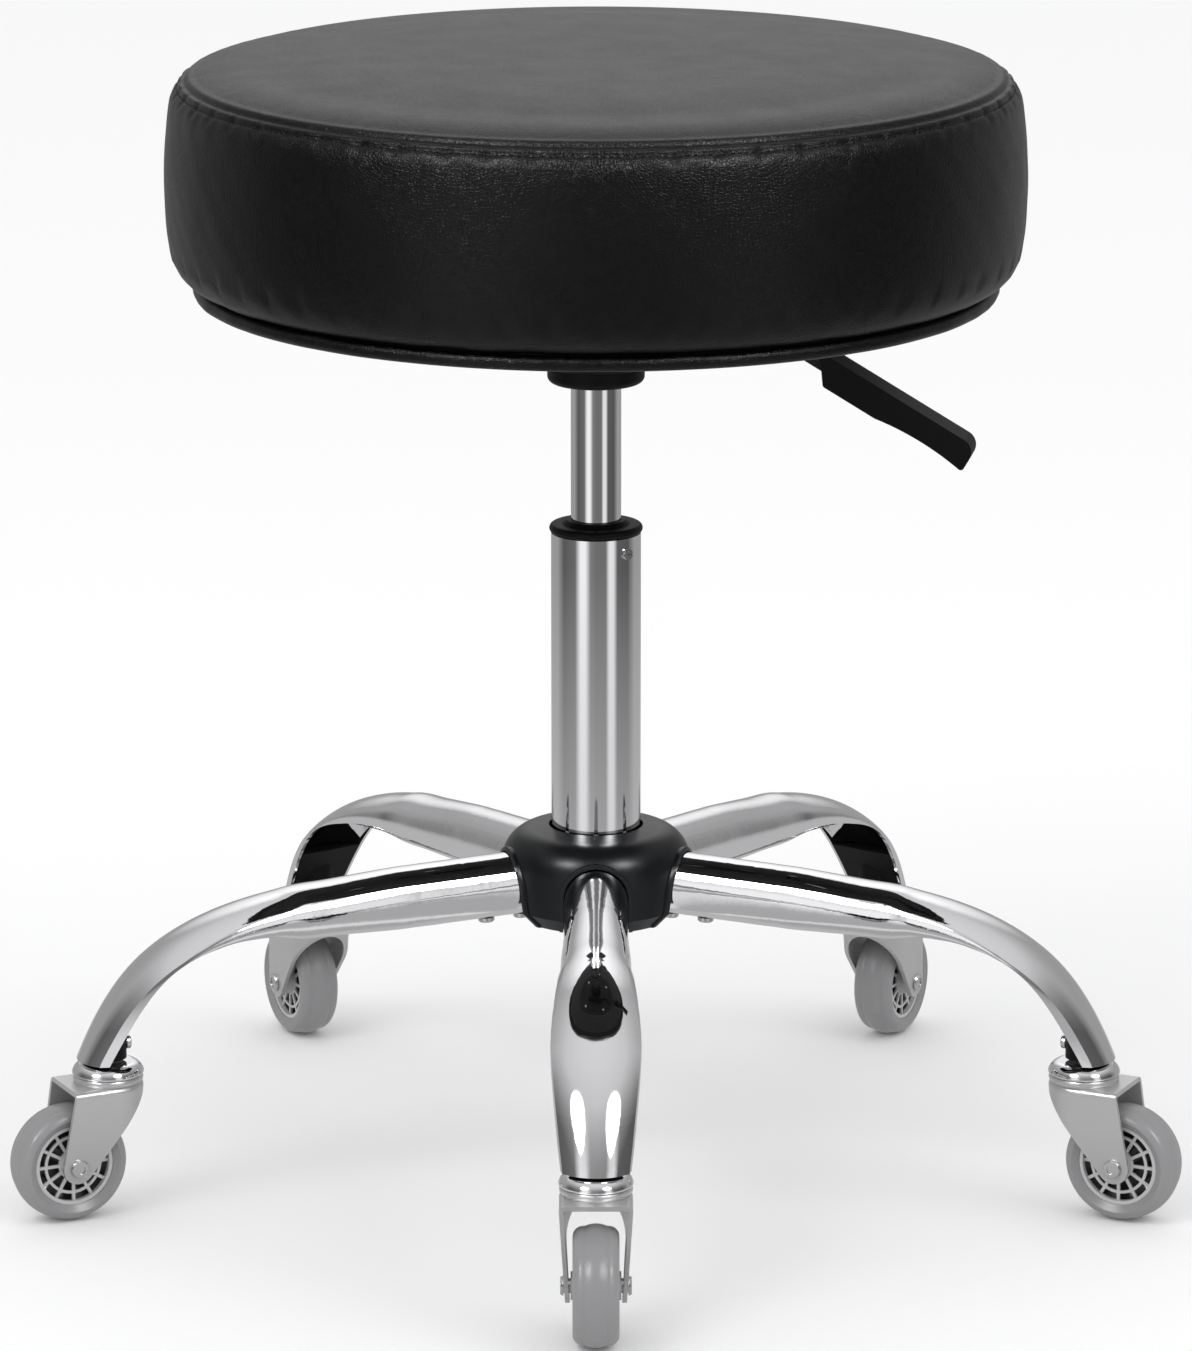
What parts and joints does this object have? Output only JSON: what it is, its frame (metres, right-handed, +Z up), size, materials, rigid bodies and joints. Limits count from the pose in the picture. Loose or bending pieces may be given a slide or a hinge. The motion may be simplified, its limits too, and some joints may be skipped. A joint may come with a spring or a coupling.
{
  "type": "swivel stool",
  "caption": "Round padded swivel stool with a gas lift column, a height lever under the seat and a chrome star base on swivel casters.",
  "frame": {"origin": "on the floor, on the column's axis", "axes": "+Z up along the column; the front leg points along -Y and the lever to +X"},
  "size_m": [0.6478, 0.6247, 0.636],
  "materials": {
    "black_vinyl": "satin",
    "seat_foam": "matte",
    "dust_cloth": "matte",
    "plywood": "matte",
    "black_steel": "satin",
    "zinc_steel": "satin",
    "black_plastic": "satin",
    "hub_plastic": "satin",
    "chrome": "polished",
    "fork_steel": "satin",
    "tyre_grey": "satin",
    "core_plastic": "satin",
    "black_rubber": "matte"
  },
  "bodies": {
    "base": {"hub_shell": "hub_plastic", "hub_core": "black_steel", "leg_1": "chrome", "leg_2": "chrome", "leg_3": "chrome", "leg_4": "chrome", "leg_5": "chrome", "leg_screws": "zinc_steel", "caster_sockets": "black_plastic", "socket_screws": "zinc_steel", "caster_stems": "chrome", "stand_tube": "chrome", "guide_sleeve": "black_plastic", "sleeve_screw": "zinc_steel", "lower_race": "zinc_steel", "bearing_balls": "zinc_steel"},
    "column_rod": {"piston_rod": "zinc_steel", "piston": "zinc_steel", "upper_race": "zinc_steel", "bumper": "black_rubber", "rod_clip": "zinc_steel"},
    "seat": {"seat_top_panel": "black_vinyl", "seat_side_band": "black_vinyl", "board_wrap": "black_vinyl", "seat_foam": "seat_foam", "seat_board": "plywood", "underside_cloth": "dust_cloth", "tee_nuts": "zinc_steel", "plate_bolts": "zinc_steel", "seat_plate": "black_steel", "taper_socket": "black_steel", "lever_pivot_pin": "zinc_steel", "column_collar": "black_plastic", "gas_cylinder": "chrome", "valve_body": "zinc_steel", "rod_guide": "black_plastic", "rod_seal": "black_rubber"},
    "lever": {"lever_bar": "black_steel", "lever_handle": "black_plastic"},
    "release_button": {"release_pin": "zinc_steel"},
    "caster_1": {"fork_1": "fork_steel", "axle_1": "zinc_steel"},
    "wheel_1": {"wheel_core_1": "core_plastic", "tyre_1": "tyre_grey"},
    "caster_2": {"fork_2": "fork_steel", "axle_2": "zinc_steel"},
    "wheel_2": {"wheel_core_2": "core_plastic", "tyre_2": "tyre_grey"},
    "caster_3": {"fork_3": "fork_steel", "axle_3": "zinc_steel"},
    "wheel_3": {"wheel_core_3": "core_plastic", "tyre_3": "tyre_grey"},
    "caster_4": {"fork_4": "fork_steel", "axle_4": "zinc_steel"},
    "wheel_4": {"wheel_core_4": "core_plastic", "tyre_4": "tyre_grey"},
    "caster_5": {"fork_5": "fork_steel", "axle_5": "zinc_steel"},
    "wheel_5": {"wheel_core_5": "core_plastic", "tyre_5": "tyre_grey"}
  },
  "joints": [
    {"name": "seat_swivel", "type": "hinge", "parent": "base", "child": "column_rod", "pos_m": [0, 0, 0.1482], "axis": [0, 0, 1], "continuous": true},
    {"name": "height_slide", "type": "slide", "parent": "column_rod", "child": "seat", "axis": [0, 0, 1], "range_m": [-0.075, 0.058]},
    {"name": "lever_lift", "type": "hinge", "parent": "seat", "child": "lever", "pos_m": [0.0256, -0.00451, 0.492], "axis": [-0.1736, -0.9848, 0], "range_deg": [0, 7], "stiffness_Nm_per_rad": 4, "springref_deg": -14.32},
    {"name": "release_push", "type": "slide", "parent": "seat", "child": "release_button", "axis": [0, 0, -1], "range_m": [0, 0.0034]},
    {"name": "caster_swivel_1", "type": "hinge", "parent": "base", "child": "caster_1", "pos_m": [0, -0.284, 0.075], "axis": [0, 0, 1], "continuous": true},
    {"name": "wheel_spin_1", "type": "hinge", "parent": "caster_1", "child": "wheel_1", "pos_m": [0, -0.3086, 0.0326], "axis": [1, 0, 0], "continuous": true},
    {"name": "caster_swivel_2", "type": "hinge", "parent": "base", "child": "caster_2", "pos_m": [0.2701, -0.08776, 0.075], "axis": [0, 0, 1], "continuous": true},
    {"name": "wheel_spin_2", "type": "hinge", "parent": "caster_2", "child": "wheel_2", "pos_m": [0.29221, -0.09854, 0.0326], "axis": [0.4384, 0.8988, 0], "continuous": true},
    {"name": "caster_swivel_3", "type": "hinge", "parent": "base", "child": "caster_3", "pos_m": [0.16693, 0.22976, 0.075], "axis": [0, 0, 1], "continuous": true},
    {"name": "wheel_spin_3", "type": "hinge", "parent": "caster_3", "child": "wheel_3", "pos_m": [0.17772, 0.25187, 0.0326], "axis": [-0.8988, 0.4384, 0], "continuous": true},
    {"name": "caster_swivel_4", "type": "hinge", "parent": "base", "child": "caster_4", "pos_m": [-0.16693, 0.22976, 0.075], "axis": [0, 0, 1], "continuous": true},
    {"name": "wheel_spin_4", "type": "hinge", "parent": "caster_4", "child": "wheel_4", "pos_m": [-0.17772, 0.25187, 0.0326], "axis": [-0.8988, -0.4384, 0], "continuous": true},
    {"name": "caster_swivel_5", "type": "hinge", "parent": "base", "child": "caster_5", "pos_m": [-0.2701, -0.08776, 0.075], "axis": [0, 0, 1], "continuous": true},
    {"name": "wheel_spin_5", "type": "hinge", "parent": "caster_5", "child": "wheel_5", "pos_m": [-0.29221, -0.09854, 0.0326], "axis": [0.4384, -0.8988, 0], "continuous": true}
  ],
  "couplings": [
    {"joint": "release_push", "follows": "lever_lift", "m_per_rad": 0.0278}
  ]
}
